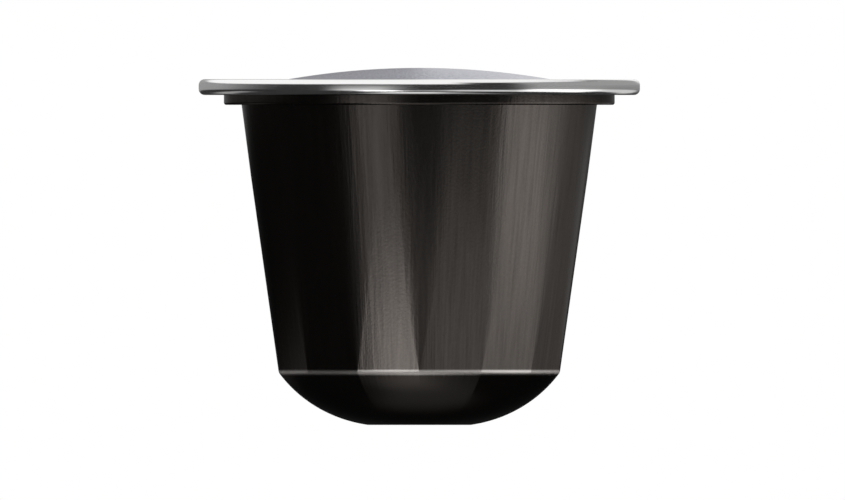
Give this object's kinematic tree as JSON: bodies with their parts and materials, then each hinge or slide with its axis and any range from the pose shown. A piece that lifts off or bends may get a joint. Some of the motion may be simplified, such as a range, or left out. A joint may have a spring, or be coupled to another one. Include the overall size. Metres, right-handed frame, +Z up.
{
  "type": "coffee pod",
  "caption": "Single-serve coffee pod: tapered black aluminium cup with flat facets that fade into its wall, rounded nose, sealing step, curled bright rim and a domed foil lid.",
  "frame": {"origin": "centre of the flat base, on the surface that the pod stands on", "axes": "+Z up along the axis of the cup, from the base to the lid; a corner between two facets faces -Y"},
  "size_m": [0.037, 0.037, 0.03],
  "materials": {
    "black_lacquer": "semi-gloss black lacquer on drawn aluminium, fine vertical draw marks",
    "bare_aluminium": "bright rolled edge, bare metal",
    "lid_foil": "matt aluminium foil with a fine mottle"
  },
  "bodies": {
    "root": {"cup": "black_lacquer", "lid": "lid_foil"}
  },
  "joints": []
}
